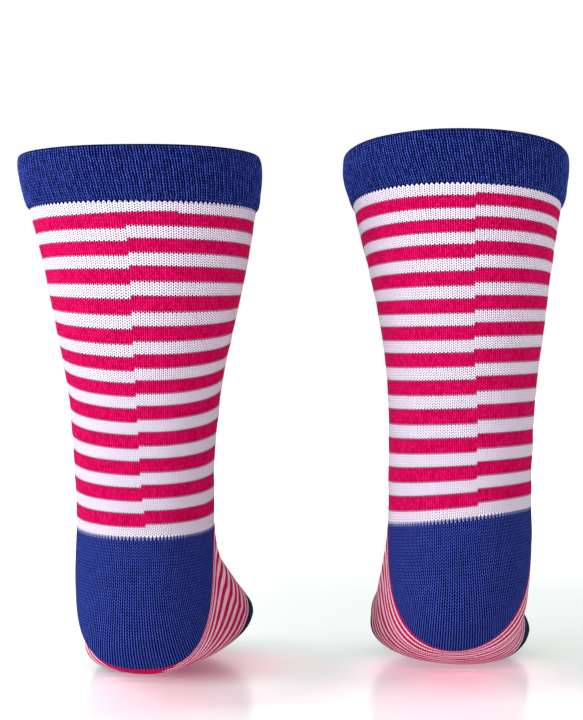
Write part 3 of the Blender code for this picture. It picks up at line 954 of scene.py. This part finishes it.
# ---- Studio ------------------------------------------------------------------------------------

FLOOR_Z = -0.2863
PAIR_MIDDLE = (0.082, 0.06)
FLOOR = ((0.70, 0.72, 0.72), (0.45, 0.45, 0.45))
# Painted shadow: a dimmer glow on the floor behind the socks, about this middle
SHADOW_GLOW = (0.07, 0.10, 0.075)
SHADOW_MIDDLE = (0.22, 0.34)
ROOM_LIGHT = 0.92

# The floor's colour and glow as a painted reflection of the pink soles, and the glow of the
# painted shadows under the feet
PAINTED_REFLECTION = ((0.70, 0.64, 0.66), (0.46, 0.41, 0.43))
REFLECTED_SOLES = ((0.01, 0.04), (0.165, 0.035))
# Painted shadows: a darker, pinker glow under each foot
PAINTED_SHADOWS = (
    ((0.03, 0.13), (0.32, 0.11, 0.15)),
    ((0.172, 0.12), (0.60, 0.36, 0.42)),
)


def distance_from(x, y, middle):
    x, y = x - middle[0], y - middle[1]
    return (x * x + y * y).maths("SQRT")


def floor_finish():
    """Pale gloss near the socks, a painted shadow greyer behind them, a painted reflection of the
    pink soles and painted shadows under the feet, fading to plain white light further out.
    """
    paint = Paint("studio_floor")
    place = paint.node("ShaderNodeTexCoord").outputs["Object"]
    split = paint.node("ShaderNodeSeparateXYZ", None, {0: place})
    x, y = Value(paint, split.outputs[0]), Value(paint, split.outputs[1])
    far = paint.step(0.6, 1.4, distance_from(x, y, PAIR_MIDDLE))
    # Painted shadow: the glow dims behind the socks
    near_shadow = 1 - paint.step(0.08, 0.62, distance_from(x, y, SHADOW_MIDDLE))
    colour, glow = FLOOR[0], paint.mixed(near_shadow, FLOOR[1], SHADOW_GLOW)
    # Painted reflection of the pink soles: pinker colour and glow near each
    for sole in REFLECTED_SOLES:
        near_reflection = 1 - paint.step(0.03, 0.10, distance_from(x, y, sole))
        colour = paint.mixed(near_reflection, colour, PAINTED_REFLECTION[0])
        glow = paint.mixed(near_reflection, glow, PAINTED_REFLECTION[1])
    # Painted shadows under the feet
    for middle, shadow_glow in PAINTED_SHADOWS:
        glow = paint.mixed(1 - paint.step(0.02, 0.08, distance_from(x, y, middle)), glow, shadow_glow)
    shader = paint.shader
    paint.feed(shader.inputs["Base Color"], colour)
    shader.inputs["Roughness"].default_value = 0.2
    shader.inputs["Specular IOR Level"].default_value = 0.3
    paint.feed(shader.inputs["Emission Color"], paint.mixed(far, glow, (1.0, 1.0, 1.0)))
    shader.inputs["Emission Strength"].default_value = 1.0
    return paint.material


def make_floor():
    bpy.ops.object.select_all(action="DESELECT")
    bpy.ops.mesh.primitive_circle_add(
        vertices=96, radius=8.0, fill_type="NGON", location=(*PAIR_MIDDLE, FLOOR_Z)
    )
    bpy.ops.object.transform_apply(location=True)
    floor = bpy.context.object
    floor.name = "studio_floor"
    floor.data.materials.append(floor_finish())


def soft_light(name, place, target, size, power, colour):
    lamp = bpy.data.lights.new(name, "AREA")
    lamp.shape = "RECTANGLE"
    lamp.size, lamp.size_y = size
    lamp.energy = power
    lamp.color = colour
    holder = bpy.data.objects.new(name, lamp)
    holder.location = place
    way = np.array(target) - np.array(place)
    holder.rotation_euler = (
        math.atan2(math.hypot(way[0], way[1]), -way[2]), 0, math.atan2(-way[0], way[1])
    )
    bpy.context.scene.collection.objects.link(holder)


def light_studio():
    world = bpy.data.worlds.new("white_room")
    world.use_nodes = True
    nodes, links = world.node_tree.nodes, world.node_tree.links
    background = nodes["Background"]
    seen = nodes.new("ShaderNodeLightPath").outputs["Is Camera Ray"]
    strength = nodes.new("ShaderNodeMapRange")
    strength.inputs["To Min"].default_value = ROOM_LIGHT
    strength.inputs["To Max"].default_value = 1.0
    links.new(seen, strength.inputs["Value"])
    links.new(strength.outputs[0], background.inputs["Strength"])
    background.inputs["Color"].default_value = (1.0, 1.0, 1.0, 1)
    bpy.context.scene.world = world
    middle = (0.08, 0.0, -0.12)
    soft_light("key", (-1.42, -0.95, 0.55), middle, (1.0, 1.2), 36.0, (0.88, 0.95, 1.0))


def set_camera():
    lens = bpy.data.cameras.new("view_from_behind")
    lens.sensor_fit = "VERTICAL"
    lens.sensor_height = 36.0
    lens.lens = 90.0
    camera = bpy.data.objects.new("view_from_behind", lens)
    camera.location = (0.07914, -0.93806, -0.1053)
    camera.rotation_euler = (math.pi / 2, 0, 0)
    bpy.context.scene.collection.objects.link(camera)
    bpy.context.scene.camera = camera


bpy.context.scene.view_settings.view_transform = "Standard"
stands()
knit_sock(LEFT)
knit_sock(RIGHT)
make_floor()
light_studio()
set_camera()
